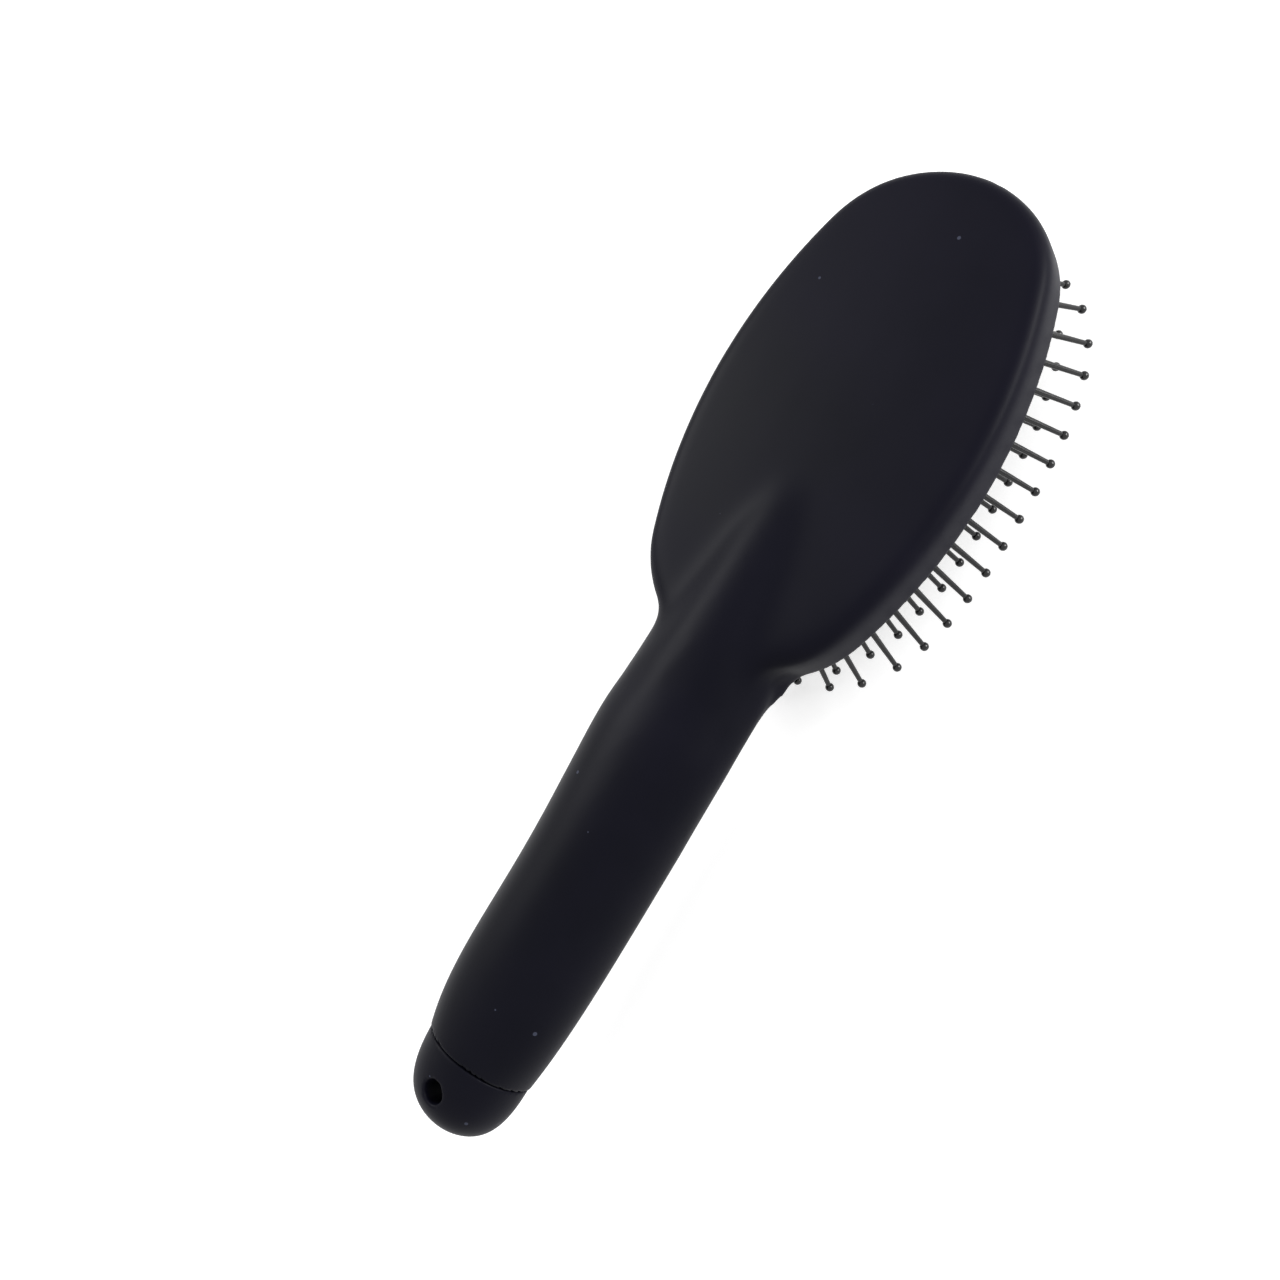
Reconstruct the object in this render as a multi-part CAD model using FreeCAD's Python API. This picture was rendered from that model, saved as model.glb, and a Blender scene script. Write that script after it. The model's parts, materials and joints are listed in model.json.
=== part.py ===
import FreeCAD, Part
import os
from math import atan2, cos, degrees, pi, radians, sin, sqrt

# Oval air-cushion hair brush with ball-tipped pins, in millimetres.
# X runs along the brush, towards the tip of the head. Z is up. The brush lies on its pin tips at Z = 0,
# so the back of the head faces up, and Y = 0 is its mirror plane.
# Heights named "level" are measured from the rim plane, the lower edge of the head, and upwards.

# Overall
overall_length = 240.0
head_length = 118.0
head_width = 69.2

# Head outline: eight tangent arcs. The end arc's radius falls short of half the head's width by
# end_tightening, and the corner arc's radius falls short of the end arc's by corner_tightening.
end_tightening = 2.6
corner_tightening = 6.0
end_turn_degrees = 28.8

# Head shell
head_thickness = 12.8
back_length_radius = 2600.0
back_width_radius = 800.0
back_edge_radius = 3.2
rim_edge_radius = 0.6
rim_wall = 1.9
recess_depth = 9.6

# Cushion seat
groove_depth = 0.7
groove_height = 1.6
groove_level = 2.4
pad_clearance = 0.1
pad_wall = 0.9

# Cushion membrane. The dome stands dome_height below the rim in its middle, and curves up by
# dome_end_rise at the tip of the head's outline and by dome_side_rise at its side.
dome_height = 4.5
dome_end_rise = 3.36
dome_side_rise = 4.34
membrane_thickness = 1.2
dome_edge_radius = 1.2
vent_radius = 0.75

# Pins
pin_length = 14.3
ball_radius = 1.0
shank_root_radius = 0.75
shank_tip_radius = 0.55
flange_radius = 1.4
flange_thickness = 0.6
flange_rise = 2.75
pin_hole_clearance = 0.4

# Pin field: straight rows across the head, and a bowed row at each end that follows the oval of outer pins.
# The margins run from the inner face of the pad's wall to the axes of the outer pins.
rows_each_side = 8
pin_pitch = 6.08
end_margin = 8.5
side_margin = 2.2
end_row_margin = 6.1
end_row_pins = 6
end_row_half_width = 15.1
pin_oval_exponent = 2.9
splay_length = 0.59
splay_width = 0.85

# Neck: the shoulders slope in from the rim to the back
neck_rim_half_width = 18.2
neck_back_half_width = 12.8
shoulder_radius = 8.0
web_length = 25.0
web_taper = 6.0

# Handle core and end cap. The core stops core_to_head short of the head's heel.
core_radius = 7.5
core_level = 5.0
core_to_head = 26.0
cap_length = 18.0
cap_spigot_length = 9.0
cap_fit = 0.05
hanging_hole_radius = 2.75
hanging_hole_inset = 9.0

# Worked out from the driving dimensions
rim_z = dome_height + pin_length + ball_radius
end_radius = head_width / 2 - end_tightening
corner_radius = end_radius - corner_tightening
dome_length_radius = ((head_length / 2) ** 2 + dome_end_rise ** 2) / (2 * dome_end_rise)
dome_width_radius = ((head_width / 2) ** 2 + dome_side_rise ** 2) / (2 * dome_side_rise)
pin_oval_half_length = head_length / 2 - rim_wall - pad_clearance - pad_wall - end_margin
pin_oval_half_width = head_width / 2 - rim_wall - pad_clearance - pad_wall - side_margin
row_pitch = (pin_oval_half_length - end_row_margin) / (rows_each_side - 1)
head_x = (overall_length - head_length) / 2
heel_x = head_x - head_length / 2
butt_x = -overall_length / 2
cap_x = butt_x + cap_length
core_z = rim_z + core_level

# Sections of the ridge and neck: distance behind the heel of the head (negative is in front of it),
# half width, and the levels of the top, of the widest line and of the underside.
neck_sections = (
    (-44.0, 0.8, 12.3, 11.4, 10.6),
    (-42.0, 3.6, 12.9, 11.2, 10.4),
    (-38.5, 5.6, 13.5, 11.0, 10.2),
    (-33.0, 7.4, 14.2, 10.6, 9.8),
    (-25.0, 9.8, 15.1, 9.4, 8.4),
    (-15.0, 12.6, 15.9, 7.2, 5.6),
    (-2.0, 16.2, 16.6, 3.6, 0.8),
    (11.0, 17.1, 17.0, 3.4, -3.4),
    (25.0, 17.0, 17.7, 4.8, -6.2),
)
# Sections of the grip: share of the way from the last neck section to the cap, then sizes as above
grip_sections = (
    (0.24, 16.7, 18.2, 5.0, -7.4),
    (0.57, 15.8, 18.2, 5.0, -7.6),
    (1.0, 13.6, 17.0, 5.0, -6.4),
)
# Curve of the end cap's dome: share of the cap's length, and of the last section's size
cap_sections = (
    (0.25, 0.985),
    (0.5, 0.93),
    (0.75, 0.78),
    (0.9, 0.56),
    (1.0, 0.22),
)

# Points on each cross-section's curve
section_points = 24
# Overrun of a cutting shape past the faces that it cuts, and a level well below the head or above it
overrun = 5.0
far_level = 20.0
# Thickness of a bowed slab, and how far it reaches along the brush to each side of the head's centre
slab_thickness = 30.0
slab_reach = 0.8 * head_length
# Highest degree of a surface through cross-sections
loft_degree = 3
# Margin for picking edges by their place
fine = 0.05


def point(x, y, z):
    return FreeCAD.Vector(x, y, z)


def arc(centre, radius, start, stop):
    """Arc in the XY plane about centre = (x, y), from angle start to angle stop."""
    spots = []
    for angle in (start, (start + stop) / 2, stop):
        spots.append(point(centre[0] + radius * cos(angle), centre[1] + radius * sin(angle), 0))
    return Part.Arc(*spots).toShape()


def corner_centre():
    """Centre of the corner arc, tangent to the end arc where the outline has turned by end_turn_degrees."""
    turn = radians(end_turn_degrees)
    end_x = head_length / 2 - end_radius
    return (end_x + corner_tightening * cos(turn), corner_tightening * sin(turn))


def side_radius():
    """Radius of the side arc that is tangent to the corner arcs and as wide as the head."""
    corner_x, corner_y = corner_centre()
    rise = head_width / 2 - corner_y
    return (corner_x ** 2 + rise ** 2 - corner_radius ** 2) / (2 * (rise - corner_radius))


def oval(inset):
    """Outline of the head, drawn in by inset, about the head's centre."""
    end_x = head_length / 2 - end_radius
    side_y = head_width / 2 - side_radius()
    corner_x, corner_y = corner_centre()
    turn = radians(end_turn_degrees)
    swing = atan2(corner_y - side_y, corner_x)
    arcs = (
        ((end_x, 0), end_radius, -turn, turn),
        ((corner_x, corner_y), corner_radius, turn, swing),
        ((0, side_y), side_radius(), swing, pi - swing),
        ((-corner_x, corner_y), corner_radius, pi - swing, pi - turn),
        ((-end_x, 0), end_radius, pi - turn, pi + turn),
        ((-corner_x, -corner_y), corner_radius, pi + turn, pi + swing),
        ((0, -side_y), side_radius(), pi + swing, 2 * pi - swing),
        ((corner_x, -corner_y), corner_radius, 2 * pi - swing, 2 * pi - turn),
    )
    edges = [arc(centre, radius - inset, start, stop) for centre, radius, start, stop in arcs]
    return Part.Wire(edges)


def prism(wire, low, high):
    """Upright solid on a head-centred outline, between two levels."""
    solid = Part.Face(wire).extrude(point(0, 0, high - low))
    solid.translate(point(head_x, 0, rim_z + low))
    return solid


def shoulder_outline(level):
    """Outline at a level of the web that sweeps in from the head to the neck, about the head's centre."""
    slope = (neck_back_half_width - neck_rim_half_width) / head_thickness
    half_width = neck_rim_half_width + slope * level
    corner_x, corner_y = corner_centre()
    reach = corner_radius + shoulder_radius
    hollow_y = half_width + shoulder_radius
    hollow_x = -corner_x - sqrt(reach ** 2 - (hollow_y - corner_y) ** 2)
    share = corner_radius / reach
    meet_x = -corner_x + share * (hollow_x + corner_x)
    meet_y = corner_y + share * (hollow_y - corner_y)
    middle = (atan2(meet_y - hollow_y, meet_x - hollow_x) - pi / 2) / 2
    bend_x = hollow_x + shoulder_radius * cos(middle)
    bend_y = hollow_y + shoulder_radius * sin(middle)
    tail_x = -head_length / 2 - web_length
    corners = []
    places = ((meet_x, meet_y), (bend_x, bend_y), (hollow_x, half_width), (tail_x, half_width - web_taper))
    for side in (1, -1):
        for x, y in places:
            corners.append(point(x, side * y, level))
    meet, bend, neck, tail, low_meet, low_bend, low_neck, low_tail = corners
    wire = Part.Wire([
        Part.LineSegment(low_meet, meet).toShape(),
        Part.Arc(meet, bend, neck).toShape(),
        Part.LineSegment(neck, tail).toShape(),
        Part.LineSegment(tail, low_tail).toShape(),
        Part.LineSegment(low_tail, low_neck).toShape(),
        Part.Arc(low_neck, low_bend, low_meet).toShape(),
    ])
    wire.translate(point(head_x, 0, rim_z))
    return wire


def section(x, half_width, top, widest, underside):
    """Closed cross-section of the handle at x: one height above its widest line, another below it."""
    spots = []
    for step in range(section_points):
        angle = 2 * pi * step / section_points
        height = top - widest if sin(angle) > 0 else widest - underside
        spots.append(point(x, half_width * cos(angle), rim_z + widest + height * sin(angle)))
    curve = Part.BSplineCurve()
    curve.interpolate(Points=spots, PeriodicFlag=True)
    return Part.Wire([curve.toShape()])


def handle_loft():
    """Smooth solid from the ridge's tip, through the neck and the grip, to the cap."""
    wires = [section(heel_x - back, *sizes) for back, *sizes in neck_sections]
    grip_x = heel_x - neck_sections[-1][0]
    for share, *sizes in grip_sections:
        wires.append(section(grip_x + share * (cap_x - grip_x), *sizes))
    return Part.makeLoft(wires, True, False, False, loft_degree)


def outline_edges(solid, low, high, front_of):
    """Edges of solid that lie between two levels and reach ahead of x = front_of."""
    edges = []
    for edge in solid.Edges:
        box = edge.BoundBox
        if box.ZMin > rim_z + low and box.ZMax < rim_z + high and box.XMax > front_of:
            edges.append(edge)
    return edges


def bowed_slab(level, length_radius, width_radius, way):
    """Slab with one face bowed both ways: an arc across the brush, swung about an axis far above or below.

    level is the height of the bowed face's middle above the rim plane, and way is 1 where it bows up.
    """
    across = head_width
    lift = way * (width_radius - sqrt(width_radius ** 2 - across ** 2))
    middle = rim_z + level
    edge = middle - lift
    back = edge - way * slab_thickness
    places = ((-across, edge), (across, edge), (across, back), (-across, back))
    corners = [point(head_x, y, z) for y, z in places]
    face = Part.Face(Part.Wire([
        Part.Arc(corners[0], point(head_x, 0, middle), corners[1]).toShape(),
        Part.LineSegment(corners[1], corners[2]).toShape(),
        Part.LineSegment(corners[2], corners[3]).toShape(),
        Part.LineSegment(corners[3], corners[0]).toShape(),
    ]))
    axis = point(head_x, 0, middle - way * length_radius)
    swing = degrees(slab_reach / length_radius)
    face.rotate(axis, point(0, 1, 0), -swing)
    return face.revolve(axis, point(0, 1, 0), 2 * swing)


def dome(depth):
    """Slab above the cushion's dome, drawn in by depth."""
    return bowed_slab(depth - dome_height, dome_length_radius - depth, dome_width_radius - depth, -1)


def head_plate():
    """Solid plate of the head and its shoulders, with a crowned back and rounded edges."""
    plate = prism(oval(0), 0, head_thickness + overrun)
    shoulders = Part.makeLoft([shoulder_outline(0), shoulder_outline(head_thickness + overrun)], True, True)
    plate = plate.fuse(shoulders).removeSplitter()
    plate = plate.common(bowed_slab(head_thickness, back_length_radius, back_width_radius, 1))
    web_end = heel_x - web_length + fine
    plate = plate.makeFillet(back_edge_radius, outline_edges(plate, head_thickness / 2, far_level, web_end))
    return plate.makeFillet(rim_edge_radius, outline_edges(plate, -fine, fine, web_end))


def make_body():
    """One moulding: head, shoulders, ridge and hollow handle, with the cushion's seat and its groove."""
    body = head_plate().fuse(handle_loft())
    seat = prism(oval(rim_wall), -far_level, recess_depth)
    groove = prism(oval(rim_wall - groove_depth), groove_level, groove_level + groove_height)
    core_length = heel_x - core_to_head - cap_x
    core = Part.makeCylinder(core_radius, core_length, point(cap_x, 0, core_z), point(1, 0, 0))
    return body.cut(seat).cut(groove).cut(core).removeSplitter()


def make_cap():
    """Domed end of the handle, with a spigot in the handle's core and a hole to hang the brush by."""
    half_width, top, widest, underside = grip_sections[-1][1:]
    wires = [section(cap_x, half_width, top, widest, underside)]
    for share, size in cap_sections:
        wires.append(section(
            cap_x - share * cap_length, size * half_width,
            widest + size * (top - widest), widest, widest - size * (widest - underside)))
    cap = Part.makeLoft(wires, True, False, False, loft_degree)
    spigot = Part.makeCylinder(
        core_radius - cap_fit, cap_spigot_length + overrun, point(cap_x - overrun, 0, core_z), point(1, 0, 0))
    hole = Part.makeCylinder(
        hanging_hole_radius, 2 * rim_z + top - underside, point(butt_x + hanging_hole_inset, 0, -overrun))
    return cap.fuse(spigot).cut(hole)


def dome_z(x, y):
    """Height of the cushion's outer surface, x and y from the head's centre."""
    across = dome_width_radius - sqrt(dome_width_radius ** 2 - y ** 2)
    radius = dome_length_radius - across
    return rim_z - dome_height + dome_length_radius - sqrt(radius ** 2 - x ** 2)


def row_places():
    """Places of the pins about the head's centre: a list of rows, each a list of (x, y)."""
    places = []
    for step in range(1 - rows_each_side, rows_each_side):
        x = step * row_pitch
        share = (abs(x) / pin_oval_half_length) ** pin_oval_exponent
        edge = pin_oval_half_width * (1 - share) ** (1 / pin_oval_exponent)
        gaps = round(2 * edge / pin_pitch)
        places.append([(x, edge * (2 * place / gaps - 1)) for place in range(gaps + 1)])
    bowed = []
    for place in range(end_row_pins):
        y = end_row_half_width * (2 * place / (end_row_pins - 1) - 1)
        share = (abs(y) / pin_oval_half_width) ** pin_oval_exponent
        bowed.append((pin_oval_half_length * (1 - share) ** (1 / pin_oval_exponent), y))
    return [[(-x, y) for x, y in bowed]] + places + [bowed]


def pin_rows():
    """Root and direction of every pin: a list of rows, each a list of (root, direction)."""
    rows = []
    for places in row_places():
        row = []
        for x, y in places:
            lean_x = splay_length * x / pin_oval_half_length
            lean_y = splay_width * y / pin_oval_half_width
            row.append((point(head_x + x, y, dome_z(x, y)), point(lean_x, lean_y, -1)))
        rows.append(row)
    return rows


def placed(solid, root, direction):
    """Copy of a solid made about the Z axis, with its origin at root and its +Z along direction."""
    copy = solid.copy()
    copy.Placement = FreeCAD.Placement(root, FreeCAD.Rotation(point(0, 0, 1), direction))
    return copy


def make_pad(rows):
    """Domed rubber cushion with a bead in the body's groove, a hole for each pin and a vent hole."""
    bead_low = groove_level + pad_clearance
    bead_high = groove_level + groove_height - pad_clearance
    outside = prism(oval(rim_wall + pad_clearance), -far_level, bead_high).common(dome(0))
    outside = outside.makeFillet(dome_edge_radius, outline_edges(outside, -far_level, 0, butt_x))
    bead = prism(oval(rim_wall - groove_depth + pad_clearance), bead_low, bead_high)
    inside = prism(oval(rim_wall + pad_clearance + pad_wall), -far_level, bead_high + overrun)
    inside = inside.common(dome(membrane_thickness))
    holes = []
    for row in rows:
        for root, direction in row:
            hole = Part.makeCylinder(
                shank_root_radius + pin_hole_clearance, 2 * overrun, point(0, 0, -overrun))
            holes.append(placed(hole, root, direction))
    vent_spot = point(head_x + row_pitch / 2, pin_pitch / 2, rim_z - dome_height - overrun)
    holes.append(Part.makeCylinder(vent_radius, 2 * overrun, vent_spot))
    return outside.fuse(bead).cut(inside).cut(Part.makeCompound(holes))


def make_pin():
    """One moulded pin about the Z axis: flange above the membrane, tapered shank, ball tip at the far end."""
    flange_top = -flange_rise - flange_thickness
    neck = pin_length - sqrt(ball_radius ** 2 - shank_tip_radius ** 2)
    waist = ball_radius * cos(pi / 4)
    top = point(0, 0, flange_top)
    top_rim = point(flange_radius, 0, flange_top)
    low_rim = point(flange_radius, 0, -flange_rise)
    shank_root = point(shank_root_radius, 0, -flange_rise)
    shank_tip = point(shank_tip_radius, 0, neck)
    ball_side = point(waist, 0, pin_length + waist)
    ball_end = point(0, 0, pin_length + ball_radius)
    profile = Part.Wire([
        Part.LineSegment(top, top_rim).toShape(),
        Part.LineSegment(top_rim, low_rim).toShape(),
        Part.LineSegment(low_rim, shank_root).toShape(),
        Part.LineSegment(shank_root, shank_tip).toShape(),
        Part.Arc(shank_tip, ball_side, ball_end).toShape(),
        Part.LineSegment(ball_end, top).toShape(),
    ])
    return Part.Face(profile).revolve(point(0, 0, 0), point(0, 0, 1), 360)


def export(name, shape):
    shape.exportStep("parts/" + name + ".step")
    print(name, len(shape.Solids), "solids", round(shape.Volume, 1), "mm3", shape.isValid())


os.makedirs("parts", exist_ok=True)
rows = pin_rows()
export("brush_body", make_body())
export("end_cap", make_cap())
export("cushion_pad", make_pad(rows))
pin = make_pin()
for number, row in enumerate(rows, start=1):
    pins = [placed(pin, root, direction) for root, direction in row]
    export("pin_row_%02d" % number, Part.makeCompound(pins))
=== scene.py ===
import bmesh
import bpy
import json
import numpy
from math import cos, pi, radians, sin
from mathutils import Matrix, Vector


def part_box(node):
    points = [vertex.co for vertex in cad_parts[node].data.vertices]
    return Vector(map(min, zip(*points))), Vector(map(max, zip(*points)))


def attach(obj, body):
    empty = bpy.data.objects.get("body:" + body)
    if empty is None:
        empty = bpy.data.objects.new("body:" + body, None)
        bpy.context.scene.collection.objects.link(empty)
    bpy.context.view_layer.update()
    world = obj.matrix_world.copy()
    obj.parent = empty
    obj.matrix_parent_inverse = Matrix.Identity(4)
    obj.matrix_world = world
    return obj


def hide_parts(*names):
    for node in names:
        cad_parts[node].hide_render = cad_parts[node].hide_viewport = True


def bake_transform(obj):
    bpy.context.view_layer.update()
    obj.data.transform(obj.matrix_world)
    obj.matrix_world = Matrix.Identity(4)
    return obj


# Oval cushion hair brush: a soft-touch shell and end cap, a rubber air cushion, and rows of semi-gloss pins,
# each pin in a small rubber collar.

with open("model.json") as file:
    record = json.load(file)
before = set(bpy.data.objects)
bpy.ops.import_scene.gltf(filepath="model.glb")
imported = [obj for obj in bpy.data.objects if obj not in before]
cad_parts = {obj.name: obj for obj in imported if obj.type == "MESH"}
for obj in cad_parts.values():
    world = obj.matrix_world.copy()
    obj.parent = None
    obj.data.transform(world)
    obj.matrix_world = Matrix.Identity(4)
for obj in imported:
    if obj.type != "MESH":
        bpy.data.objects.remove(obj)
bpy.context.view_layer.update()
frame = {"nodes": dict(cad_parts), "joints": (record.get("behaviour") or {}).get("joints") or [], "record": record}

MM = 0.001

# From the rim to the top of the back
HEAD_DEPTH = 12.8 * MM

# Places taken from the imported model
PRESS = next(joint for joint in frame["joints"] if joint["name"] == "cushion_press")
RIM_Z = PRESS["deforming_nodes"][0]["fixed_end_z_m"]
PAD_LOW, PAD_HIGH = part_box("cushion_pad")
HEAD_X = (PAD_LOW.x + PAD_HIGH.x) / 2
HEEL_X = PAD_LOW.x
CAP_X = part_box("brush_body")[0].x
CORE_Z = next(mount for mount in frame["record"]["mounts"] if mount["name"] == "hanging_hole")["pos_m"][2]
BACK_Z = RIM_Z + HEAD_DEPTH
PIN_ROWS = sorted(name for name in frame["nodes"] if name.startswith("pin_row"))

# Pins: from the far face of the flange to the skin of the cushion, and the shank's radius there
PIN_ROOT = 3.35 * MM
SHANK_RADIUS = 0.72 * MM

# Rubber collar round each pin, about the pin's axis: radius, and height above the cushion's skin
COLLAR_PROFILE = (
    (1.75 * MM, -0.55 * MM),
    (1.6 * MM, 0.1 * MM),
    (1.3 * MM, 0.5 * MM),
    (0.95 * MM, 0.75 * MM),
    (SHANK_RADIUS, 0.7 * MM),
    (SHANK_RADIUS, -0.5 * MM),
)
COLLAR_SIDES = 10

# Grip: how many slices measure its size, the degree of the curve fitted through them, how far past the cap's
# seam they start, how near to the full width counts as the widest line, how far behind the heel the smooth
# surface starts and where it is whole, how far it stays off the seam, and the radius round the hollow core
# inside which nothing moves
GRIP_SLICES = 30
GRIP_CURVE = 4
FIRST_SLICE = 0.5 * MM
WIDEST_SHARE = 0.97
GRIP_START = 8 * MM
GRIP_WHOLE = 24 * MM
SEAM_MARGIN = 0.4 * MM
CORE_ROOM = 9.5 * MM

# Ridge on the back of the head: how far below the top of the back its softening is whole and ends, how far it
# reaches past the heel and where it fades behind it, how wide it is, and over what length it fades
RIDGE_WHOLE_DEPTH = 1.5 * MM
RIDGE_END_DEPTH = 3.5 * MM
RIDGE_REACH = 50 * MM
RIDGE_REAR_WHOLE = 6 * MM
RIDGE_REAR_END = 24 * MM
RIDGE_HALF_WIDTH = 19 * MM
RIDGE_FADE = 8 * MM
RIDGE_PASSES = 90

# Edge of the back: the heights at which its softening starts and is whole, and how far behind the heel it
# ends
EDGE_NONE = RIM_Z + 5.5 * MM
EDGE_FULL = RIM_Z + 8 * MM
EDGE_REACH = 12 * MM
EDGE_PASSES = 45

# Neck: how far behind the heel its softening is whole, and over what length it fades at both ends
NECK_REACH = 34 * MM
NECK_FADE = 10 * MM
NECK_PASSES = 60

# Share of each step that a smoothing pass takes, and the distance under which vertices are one
SMOOTH_STEP = 0.5
MERGE_DISTANCE = 0.005 * MM

# What the camera looks at: this far behind the middle of the head, and this far to its left
AIM_BEHIND = 64.4 * MM
AIM_ASIDE = 21.5 * MM

FLOOR_HALF_WIDTH = 3


def look_from(name, target, azimuth, elevation, roll, distance, lens):
    """Camera that looks at target from azimuth and elevation, turned by roll about its own axis."""
    data = bpy.data.cameras.new(name)
    data.lens = lens
    data.clip_start = 10 * MM
    camera = bpy.data.objects.new(name, data)
    bpy.context.scene.collection.objects.link(camera)
    away = Vector((
        sin(radians(azimuth)) * cos(radians(elevation)),
        -cos(radians(azimuth)) * cos(radians(elevation)),
        sin(radians(elevation)),
    ))
    turn = away.to_track_quat("Z", "Y").to_matrix().to_4x4()
    roll_turn = Matrix.Rotation(radians(roll), 4, "Z")
    camera.matrix_world = Matrix.Translation(target + away * distance) @ turn @ roll_turn
    bpy.context.scene.camera = camera


def add_group(name, inputs, outputs):
    """Empty node group with number inputs, given by name and default, and named outputs of a kind."""
    group = bpy.data.node_groups.new(name, "ShaderNodeTree")
    for socket, value in inputs:
        made = group.interface.new_socket(socket, in_out="INPUT", socket_type="NodeSocketFloat")
        made.default_value = value
    for socket, kind in outputs:
        group.interface.new_socket(socket, in_out="OUTPUT", socket_type=kind)
    return group, group.nodes.new("NodeGroupInput"), group.nodes.new("NodeGroupOutput")


def add_noise(tree, place, scale, detail, roughness=0.5):
    """Noise in a tree, at a place. Its scale is a number or a socket."""
    noise = tree.nodes.new("ShaderNodeTexNoise")
    tree.links.new(place, noise.inputs["Vector"])
    if isinstance(scale, float):
        noise.inputs["Scale"].default_value = scale
    else:
        tree.links.new(scale, noise.inputs["Scale"])
    noise.inputs["Detail"].default_value = detail
    noise.inputs["Roughness"].default_value = roughness
    return noise.outputs["Fac"]


def add_range(tree, value, low, high, bottom=0.0, top=1.0):
    """Value between low and high, stretched to bottom and top and kept inside them."""
    node = tree.nodes.new("ShaderNodeMapRange")
    node.inputs["From Min"].default_value = low
    node.inputs["From Max"].default_value = high
    node.inputs["To Min"].default_value = bottom
    node.inputs["To Max"].default_value = top
    tree.links.new(value, node.inputs["Value"])
    return node.outputs["Result"]


def add_math(tree, operation, first, second):
    """One sum on two values, each a number or a socket."""
    node = tree.nodes.new("ShaderNodeMath")
    node.operation = operation
    for socket, value in zip(node.inputs, (first, second)):
        if isinstance(value, float):
            socket.default_value = value
        else:
            tree.links.new(value, socket)
    return node.outputs["Value"]


def add_mix(tree, share, first, second):
    """Colour between first and second. Each is a colour or a socket."""
    node = tree.nodes.new("ShaderNodeMix")
    node.data_type = "RGBA"
    tree.links.new(share, node.inputs["Factor"])
    for socket, value in ((node.inputs[6], first), (node.inputs[7], second)):
        if isinstance(value, tuple):
            socket.default_value = (*value, 1)
        else:
            tree.links.new(value, socket)
    return node.outputs[2]


def object_place(tree):
    """Object coordinates, which stay with the piece as it moves."""
    return tree.nodes.new("ShaderNodeTexCoord").outputs["Object"]


def build_grain():
    """Fine pebbled grain of a moulded or lacquered surface, as a height."""
    group, inside, outside = add_group(
        "moulded_grain", (("Scale", 2500.0), ("Orange Peel", 0.5)), (("Height", "NodeSocketFloat"),))
    place = object_place(group)
    fine = add_noise(group, place, inside.outputs["Scale"], detail=3.0, roughness=0.6)
    broad = add_noise(group, place, add_math(group, "MULTIPLY", inside.outputs["Scale"], 0.12), detail=2.0)
    peel = add_math(group, "MULTIPLY", broad, inside.outputs["Orange Peel"])
    group.links.new(add_math(group, "ADD", fine, peel), outside.inputs["Height"])
    return group


def build_mottle():
    """Broad uneven patches, as handling and spraying leave them."""
    group, inside, outside = add_group(
        "handled_mottle", (("Scale", 30.0), ("Contrast", 0.25)), (("Mask", "NodeSocketFloat"),))
    noise = add_noise(group, object_place(group), inside.outputs["Scale"], detail=4.0, roughness=0.55)
    node = group.nodes.new("ShaderNodeMapRange")
    group.links.new(noise, node.inputs["Value"])
    group.links.new(add_math(group, "SUBTRACT", 0.5, inside.outputs["Contrast"]), node.inputs["From Min"])
    group.links.new(add_math(group, "ADD", 0.5, inside.outputs["Contrast"]), node.inputs["From Max"])
    group.links.new(node.outputs["Result"], outside.inputs["Mask"])
    return group


def build_specks():
    """Scattered specks of dust that settled in the finish: few, small and of uneven size."""
    group, inside, outside = add_group(
        "dust_specks", (("Scale", 140.0), ("Amount", 0.03), ("Size", 0.12)), (("Mask", "NodeSocketFloat"),))
    cells = group.nodes.new("ShaderNodeTexVoronoi")
    group.links.new(object_place(group), cells.inputs["Vector"])
    group.links.new(inside.outputs["Scale"], cells.inputs["Scale"])
    split = group.nodes.new("ShaderNodeSeparateColor")
    group.links.new(cells.outputs["Color"], split.inputs["Color"])
    chosen = add_math(group, "LESS_THAN", split.outputs["Red"], inside.outputs["Amount"])
    reach = add_math(group, "MULTIPLY", split.outputs["Green"], inside.outputs["Size"])
    near = add_math(group, "LESS_THAN", cells.outputs["Distance"], reach)
    group.links.new(add_math(group, "MULTIPLY", chosen, near), outside.inputs["Mask"])
    return group


def build_wear_and_sheen():
    """Edges that hands have rubbed, and a painted sheen along them: strongest on convex edges, broken up by noise.
    """
    group, inside, outside = add_group(
        "edge_wear", (("Start", 0.52), ("End", 0.62), ("Breakup", 60.0)), (("Mask", "NodeSocketFloat"),))
    geometry = group.nodes.new("ShaderNodeNewGeometry")
    node = group.nodes.new("ShaderNodeMapRange")
    group.links.new(geometry.outputs["Pointiness"], node.inputs["Value"])
    group.links.new(inside.outputs["Start"], node.inputs["From Min"])
    group.links.new(inside.outputs["End"], node.inputs["From Max"])
    noise = add_noise(group, object_place(group), inside.outputs["Breakup"], detail=3.0)
    broken = add_range(group, noise, low=0.35, high=0.65, bottom=0.35, top=1.0)
    group.links.new(add_math(group, "MULTIPLY", node.outputs["Result"], broken), outside.inputs["Mask"])
    return group


GRAIN = build_grain()
MOTTLE = build_mottle()
SPECKS = build_specks()
WEAR_AND_SHEEN = build_wear_and_sheen()


def place_group(tree, group, **values):
    """Group placed in a material's tree with its own values."""
    node = tree.nodes.new("ShaderNodeGroup")
    node.node_tree = group
    for socket, value in values.items():
        node.inputs[socket.replace("_", " ")].default_value = value
    return node.outputs[0]


def new_material(name):
    """Material with its shader and its tree."""
    material = bpy.data.materials.new(name)
    material.use_nodes = True
    return material, material.node_tree, material.node_tree.nodes["Principled BSDF"]


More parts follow.
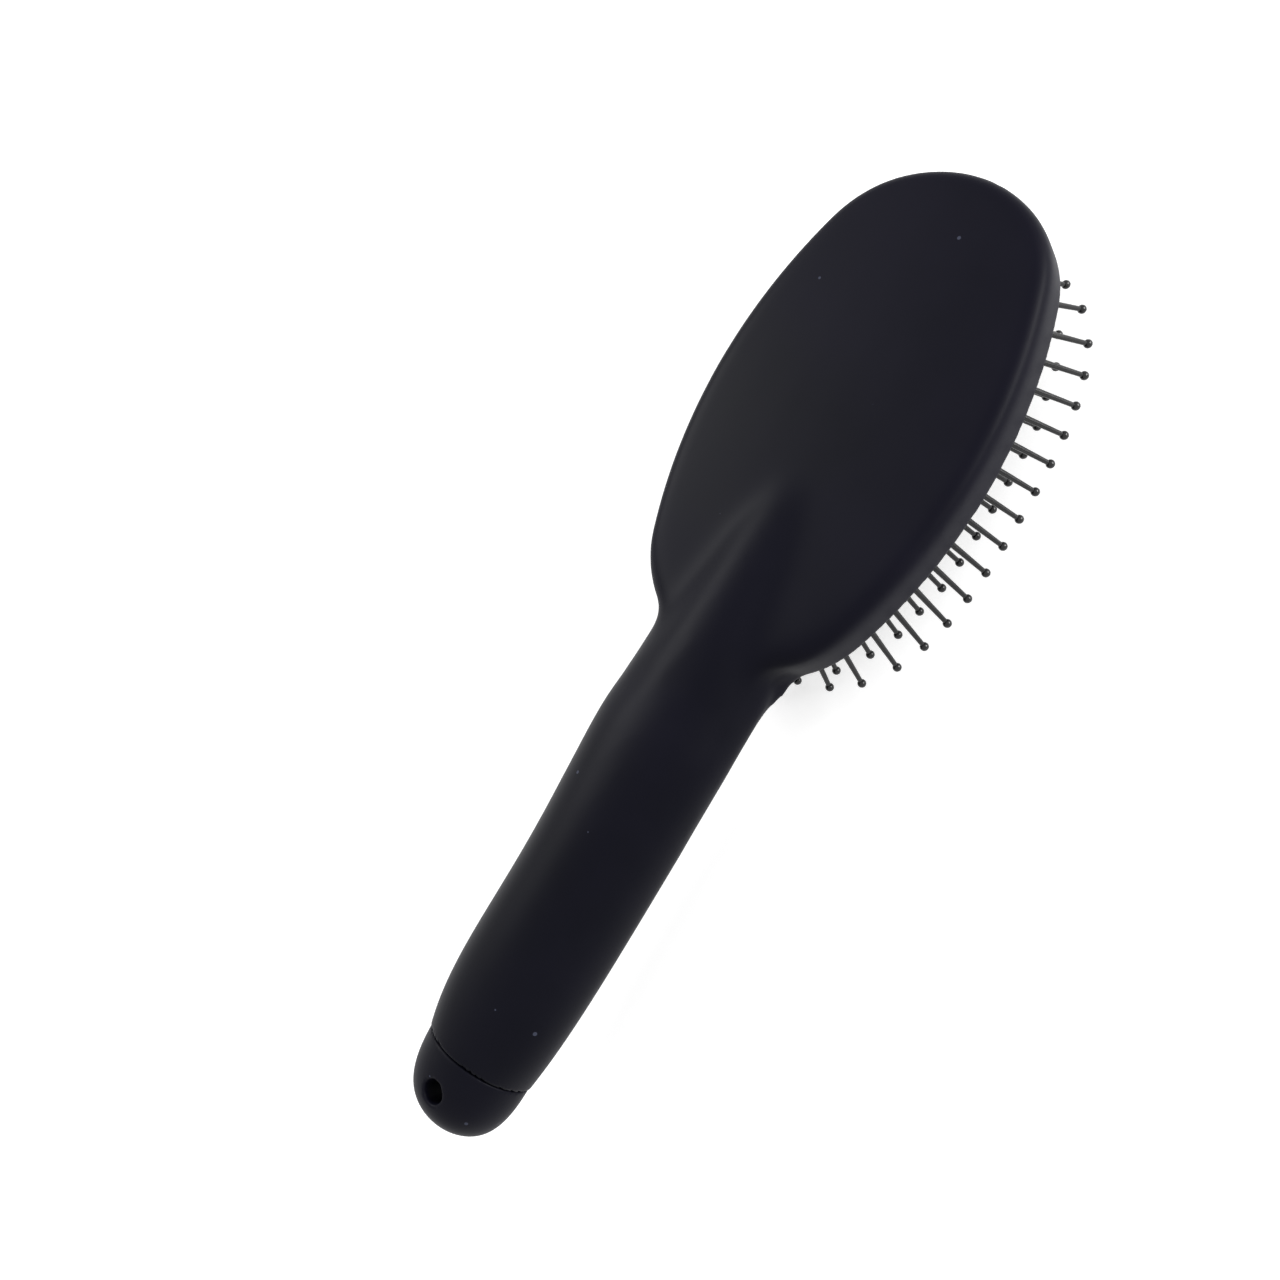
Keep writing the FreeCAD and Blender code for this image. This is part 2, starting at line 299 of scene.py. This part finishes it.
def add_bump(tree, shader, height, depth, strength):
    """Surface relief of a depth in metres, on the shader's normal."""
    bump = tree.nodes.new("ShaderNodeBump")
    bump.inputs["Strength"].default_value = strength
    bump.inputs["Distance"].default_value = depth
    tree.links.new(height, bump.inputs["Height"])
    tree.links.new(bump.outputs["Normal"], shader.inputs["Normal"])


def soft_touch_lacquer():
    """Near-black soft-touch lacquer with a faint blue-violet cast, a low sheen, paler convex edges that are partly
    rubbed and partly a painted sheen, and a few specks of dust.
    """
    material, tree, shader = new_material("soft_touch_lacquer")
    patches = place_group(tree, MOTTLE, Scale=22.0, Contrast=0.22)
    tint = place_group(tree, MOTTLE, Scale=11.0, Contrast=0.3)
    # Mask of convex edges: rubbed wear and a painted sheen along them
    worn_and_sheen = place_group(tree, WEAR_AND_SHEEN, Start=0.53, End=0.66, Breakup=45.0)
    dust = place_group(tree, SPECKS, Scale=230.0, Amount=0.14, Size=0.11)
    grain = place_group(tree, GRAIN, Scale=2600.0, Orange_Peel=0.8)
    deep, pale, violet = (0.0012, 0.0016, 0.0034), (0.0042, 0.0045, 0.0074), (0.0052, 0.0042, 0.0125)
    # The first colour here is the paler edge colour: rubbed wear together with a painted sheen
    paler_tone, speck = (0.014, 0.014, 0.018), (0.045, 0.05, 0.075)
    base = add_mix(tree, patches, deep, pale)
    base = add_mix(tree, add_math(tree, "MULTIPLY", tint, 0.6), base, violet)
    base = add_mix(tree, add_math(tree, "MULTIPLY", worn_and_sheen, 0.5), base, paler_tone)
    base = add_mix(tree, dust, base, speck)
    tree.links.new(base, shader.inputs["Base Color"])
    shader.inputs["Specular IOR Level"].default_value = 0.07
    matt = add_range(tree, patches, 0.0, 1.0, bottom=0.42, top=0.5)
    matt = add_math(tree, "SUBTRACT", matt, add_math(tree, "MULTIPLY", worn_and_sheen, 0.1))
    tree.links.new(matt, shader.inputs["Roughness"])
    height = add_math(tree, "ADD", grain, add_math(tree, "MULTIPLY", dust, 2.0))
    add_bump(tree, shader, height, depth=0.012 * MM, strength=0.35)
    return material


def cushion_rubber():
    """Matt black moulded rubber, a little dusty, with a coarse grain."""
    material, tree, shader = new_material("cushion_rubber")
    patches = place_group(tree, MOTTLE, Scale=40.0, Contrast=0.2)
    dust = place_group(tree, SPECKS, Scale=220.0, Amount=0.06, Size=0.16)
    grain = place_group(tree, GRAIN, Scale=1800.0, Orange_Peel=0.4)
    deep, pale, speck = (0.0085, 0.0085, 0.009), (0.015, 0.015, 0.0155), (0.07, 0.068, 0.066)
    base = add_mix(tree, dust, add_mix(tree, patches, deep, pale), speck)
    tree.links.new(base, shader.inputs["Base Color"])
    tree.links.new(add_range(tree, patches, 0.0, 1.0, bottom=0.68, top=0.8), shader.inputs["Roughness"])
    add_bump(tree, shader, grain, depth=0.02 * MM, strength=0.5)
    return material


def pin_nylon():
    """Semi-gloss dark grey nylon, paler where the tips are rubbed."""
    material, tree, shader = new_material("pin_nylon")
    patches = place_group(tree, MOTTLE, Scale=260.0, Contrast=0.25)
    flow = place_group(tree, GRAIN, Scale=900.0, Orange_Peel=1.0)
    place = tree.nodes.new("ShaderNodeSeparateXYZ")
    tree.links.new(object_place(tree), place.inputs["Vector"])
    tips = add_range(tree, place.outputs["Z"], low=5.0 * MM, high=1.0 * MM, bottom=0.0, top=0.6)
    tips = add_math(tree, "MULTIPLY", tips, patches)
    deep, pale, paler_tone = (0.007, 0.007, 0.008), (0.012, 0.012, 0.013), (0.022, 0.022, 0.023)
    base = add_mix(tree, tips, add_mix(tree, patches, deep, pale), paler_tone)
    tree.links.new(base, shader.inputs["Base Color"])
    shader.inputs["Specular IOR Level"].default_value = 0.4
    tree.links.new(add_range(tree, patches, 0.0, 1.0, bottom=0.18, top=0.27), shader.inputs["Roughness"])
    add_bump(tree, shader, flow, depth=0.006 * MM, strength=0.3)
    return material


LACQUER = soft_touch_lacquer()
RUBBER = cushion_rubber()
NYLON = pin_nylon()


def finish_piece(piece, material):
    """Material and smooth shading for a finished piece."""
    piece.data.materials.clear()
    piece.data.materials.append(material)
    for face in piece.data.polygons:
        face.use_smooth = True


def piece_from(shape, name):
    """Object in the scene from a bmesh, which is freed."""
    mesh = bpy.data.meshes.new(name)
    shape.to_mesh(mesh)
    shape.free()
    piece = bpy.data.objects.new(name, mesh)
    bpy.context.scene.collection.objects.link(piece)
    return piece


def merged_copy(node):
    """Bmesh copy of a CAD node, its triangles joined into one surface."""
    shape = bmesh.new()
    shape.from_mesh(frame["nodes"][node].data)
    bmesh.ops.remove_doubles(shape, verts=shape.verts, dist=MERGE_DISTANCE)
    return shape


def applied_mesh(piece):
    """Mesh of a piece with its modifiers applied."""
    depsgraph = bpy.context.evaluated_depsgraph_get()
    return bpy.data.meshes.new_from_object(piece.evaluated_get(depsgraph))


def moulded_copy(node, name, voxel, passes):
    """Copy of a CAD node in even faces, with its creases melted into small radii, as a moulding has them."""
    rough = piece_from(merged_copy(node), name + "_rough")
    remesh = rough.modifiers.new("remesh", "REMESH")
    remesh.mode = "VOXEL"
    remesh.voxel_size = voxel
    smooth = rough.modifiers.new("smooth", "SMOOTH")
    smooth.factor = SMOOTH_STEP
    smooth.iterations = passes
    finished = applied_mesh(rough)
    finished.name = name
    bpy.data.objects.remove(rough)
    piece = bpy.data.objects.new(name, finished)
    bpy.context.scene.collection.objects.link(piece)
    return piece


def fade(value, full, none):
    """Share from 1 at full to 0 at none."""
    share = min(max((value - none) / (full - none), 0), 1)
    return share * share * (3 - 2 * share)


def ridge_share(spot):
    """How far a spot belongs to the ridge on the back of the head, from 0 to 1."""
    height = fade(spot.z, BACK_Z - RIDGE_WHOLE_DEPTH, BACK_Z - RIDGE_END_DEPTH)
    front = fade(spot.x, HEEL_X + RIDGE_REACH, HEEL_X + RIDGE_REACH + RIDGE_FADE)
    rear = fade(spot.x, HEEL_X - RIDGE_REAR_WHOLE, HEEL_X - RIDGE_REAR_END)
    side = fade(abs(spot.y), RIDGE_HALF_WIDTH, RIDGE_HALF_WIDTH + RIDGE_FADE)
    return height * front * rear * side


def edge_share(spot):
    """How far a spot belongs to the back of the head and the turn of its edge, from 0 to 1."""
    return fade(spot.z, EDGE_FULL, EDGE_NONE) * fade(spot.x, HEEL_X, HEEL_X - EDGE_REACH)


def neck_share(spot):
    """How far a spot belongs to the neck, from 0 to 1."""
    rear = fade(spot.x, HEEL_X - NECK_REACH, HEEL_X - NECK_REACH - NECK_FADE)
    return rear * fade(spot.x, HEEL_X - NECK_FADE, HEEL_X)


def soften(piece, share_of, passes):
    """Smooths a piece as strongly at each vertex as share_of says."""
    weights = piece.vertex_groups.new(name="softened")
    for vertex in piece.data.vertices:
        share = share_of(vertex.co)
        if share > 0:
            weights.add([vertex.index], share, "REPLACE")
    smooth = piece.modifiers.new("soften", "SMOOTH")
    smooth.factor = SMOOTH_STEP
    smooth.iterations = passes
    smooth.vertex_group = weights.name
    finished = applied_mesh(piece)
    piece.modifiers.clear()
    piece.vertex_groups.clear()
    piece.data = finished


def grip_curves():
    """Smooth curves along the grip, from slices: its half width, top, widest line and underside."""
    places = numpy.linspace(CAP_X + FIRST_SLICE, HEEL_X - GRIP_START, GRIP_SLICES)
    sizes = []
    for x in places:
        shape = merged_copy("brush_body")
        cut = bmesh.ops.bisect_plane(
            shape, geom=shape.verts[:] + shape.edges[:] + shape.faces[:],
            plane_co=(x, 0, 0), plane_no=(1, 0, 0))
        spots = numpy.array([part.co[:] for part in cut["geom_cut"] if isinstance(part, bmesh.types.BMVert)])
        shape.free()
        half_width = abs(spots[:, 1]).max()
        wide = spots[abs(spots[:, 1]) > WIDEST_SHARE * half_width]
        sizes.append((half_width, spots[:, 2].max(), wide[:, 2].mean(), spots[:, 2].min()))
    return [numpy.poly1d(numpy.polyfit(places, column, GRIP_CURVE)) for column in numpy.array(sizes).T]


def true_grip(piece):
    """Puts the outer skin of the grip on one smooth surface, half ellipses above and below in section."""
    curves = grip_curves()
    for vertex in piece.data.vertices:
        spot = vertex.co
        share = fade(spot.x, HEEL_X - GRIP_WHOLE, HEEL_X - GRIP_START)
        outside = Vector((0, spot.y, spot.z - CORE_Z)).length > CORE_ROOM and spot.x > CAP_X + SEAM_MARGIN
        if share > 0 and outside:
            half_width, top, widest, underside = (curve(spot.x) for curve in curves)
            height = top - widest if spot.z > widest else widest - underside
            across, up = spot.y / half_width, (spot.z - widest) / height
            reach = (across * across + up * up) ** 0.5
            smooth = Vector((spot.x, spot.y / reach, widest + (spot.z - widest) / reach))
            vertex.co = spot.lerp(smooth, share)


def make_shell():
    """Head, neck and grip in one lacquered moulding."""
    shell = moulded_copy("brush_body", "brush_shell", voxel=0.65 * MM, passes=6)
    true_grip(shell)
    soften(shell, neck_share, NECK_PASSES)
    soften(shell, edge_share, EDGE_PASSES)
    soften(shell, ridge_share, RIDGE_PASSES)
    finish_piece(shell, LACQUER)
    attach(shell, "root")
    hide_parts("brush_body")


def make_end_cap():
    """Domed cap with its hanging hole."""
    cap = moulded_copy("end_cap", "domed_end_cap", voxel=0.45 * MM, passes=4)
    finish_piece(cap, LACQUER)
    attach(cap, "root")
    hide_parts("end_cap")


def make_cushion():
    """Rubber cushion: its bead stays in the shell."""
    cushion = moulded_copy("cushion_pad", "rubber_cushion", voxel=0.5 * MM, passes=3)
    finish_piece(cushion, RUBBER)
    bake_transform(cushion)
    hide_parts("cushion_pad")


def linked_vertices(start):
    """Start and every vertex that edges join to it, in the order met."""
    met = [start]
    known = {start}
    for vertex in met:
        for edge in vertex.link_edges:
            other = edge.other_vert(vertex)
            if other not in known:
                known.add(other)
                met.append(other)
    return met


def pin_axes(node):
    """Skin point and direction of each pin of a row, from its flange end towards its ball."""
    shape = merged_copy(node)
    placed = set()
    axes = []
    for vertex in shape.verts:
        if vertex in placed:
            continue
        pin = linked_vertices(vertex)
        placed.update(pin)
        spots = numpy.array([part.co[:] for part in pin])
        centre = spots.mean(axis=0)
        direction = numpy.linalg.eigh(numpy.cov((spots - centre).T))[1][:, -1]
        if direction[2] > 0:
            direction = -direction
        flange_end = ((spots - centre) @ direction).min()
        axes.append((Vector(centre + direction * (flange_end + PIN_ROOT)), Vector(direction)))
    shape.free()
    return axes


def make_collars(node):
    """Rubber collars of one row of pins, spun about each pin's axis."""
    shape = bmesh.new()
    for skin, direction in pin_axes(node):
        outline = [shape.verts.new((radius, 0, height)) for radius, height in COLLAR_PROFILE]
        edges = [shape.edges.new(pair) for pair in zip(outline, outline[1:] + outline[:1])]
        spun = bmesh.ops.spin(
            shape, geom=outline + edges, cent=(0, 0, 0), axis=(0, 0, 1), dvec=(0, 0, 0),
            angle=2 * pi, steps=COLLAR_SIDES, use_merge=True)
        start = next(part for part in spun["geom_last"] if isinstance(part, bmesh.types.BMVert))
        collar = linked_vertices(start)
        turn = Vector((0, 0, 1)).rotation_difference(direction).to_matrix().to_4x4()
        bmesh.ops.transform(shape, matrix=Matrix.Translation(skin) @ turn, verts=collar)
    bmesh.ops.recalc_face_normals(shape, faces=shape.faces)
    collars = piece_from(shape, node + "_collars")
    finish_piece(collars, RUBBER)
    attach(collars, node)


def finish_pins():
    """Nylon on the pins, which stay as they were designed."""
    for node in PIN_ROWS:
        for slot in frame["nodes"][node].material_slots:
            slot.material = NYLON


def area_light(name, spot, target, size, power):
    """Soft rectangular lamp at spot, turned to target."""
    data = bpy.data.lights.new(name, "AREA")
    data.shape = "RECTANGLE"
    data.size, data.size_y = size
    data.energy = power
    light = bpy.data.objects.new(name, data)
    bpy.context.scene.collection.objects.link(light)
    away = spot - target
    light.matrix_world = Matrix.Translation(spot) @ away.to_track_quat("Z", "Y").to_matrix().to_4x4()


def add_ray_strength(tree, seen, lamp):
    """Strength seen for rays from the camera and for mirrored or refracted ones, and lamp for the rest."""
    rays = tree.nodes.new("ShaderNodeLightPath")
    share = add_math(tree, "MAXIMUM", rays.outputs["Is Camera Ray"], rays.outputs["Is Glossy Ray"])
    share = add_math(tree, "MAXIMUM", share, rays.outputs["Is Transmission Ray"])
    return add_range(tree, share, 0.0, 1.0, lamp, seen)


def make_floor():
    """Plain pale floor that keeps the brush's shadow and is clear from below."""
    shape = bmesh.new()
    bmesh.ops.create_grid(shape, x_segments=1, y_segments=1, size=FLOOR_HALF_WIDTH)
    floor = piece_from(shape, "floor")
    material, tree, shader = new_material("pale_floor")
    shader.inputs["Base Color"].default_value = (0.8, 0.8, 0.8, 1)
    shader.inputs["Roughness"].default_value = 0.9
    shader.inputs["Specular IOR Level"].default_value = 0
    shader.inputs["Emission Color"].default_value = (1, 1, 1, 1)
    tree.links.new(add_ray_strength(tree, seen=0.55, lamp=0.0), shader.inputs["Emission Strength"])
    geometry = tree.nodes.new("ShaderNodeNewGeometry")
    tree.links.new(add_math(tree, "SUBTRACT", 1.0, geometry.outputs["Backfacing"]), shader.inputs["Alpha"])
    floor.data.materials.append(material)


def make_world():
    """Even studio surroundings: white to look at and in reflections, dimmer as a lamp."""
    world = bpy.data.worlds.new("studio_world")
    bpy.context.scene.world = world
    world.use_nodes = True
    tree = world.node_tree
    background = tree.nodes["Background"]
    background.inputs["Color"].default_value = (1, 1, 1, 1)
    tree.links.new(add_ray_strength(tree, seen=1.0, lamp=0.45), background.inputs["Strength"])


look_from(
    "studio_camera", Vector((HEAD_X - AIM_BEHIND, AIM_ASIDE, RIM_Z)),
    azimuth=5.9, elevation=58.2, roll=-65.1, distance=0.2826, lens=33.75)
make_shell()
make_end_cap()
make_cushion()
for row in PIN_ROWS:
    make_collars(row)
finish_pins()

head_middle = Vector((HEAD_X, 0, RIM_Z))
left_spot = head_middle + Vector((0.02, 0.85, 0.72))
front_spot = head_middle + Vector((0.65, -0.75, 0.36))
area_light("left_softbox", left_spot, head_middle, size=(0.5, 0.35), power=8)
area_light("front_softbox", front_spot, head_middle, size=(0.6, 0.4), power=12)
make_floor()
make_world()

bpy.context.scene.view_settings.view_transform = "Standard"
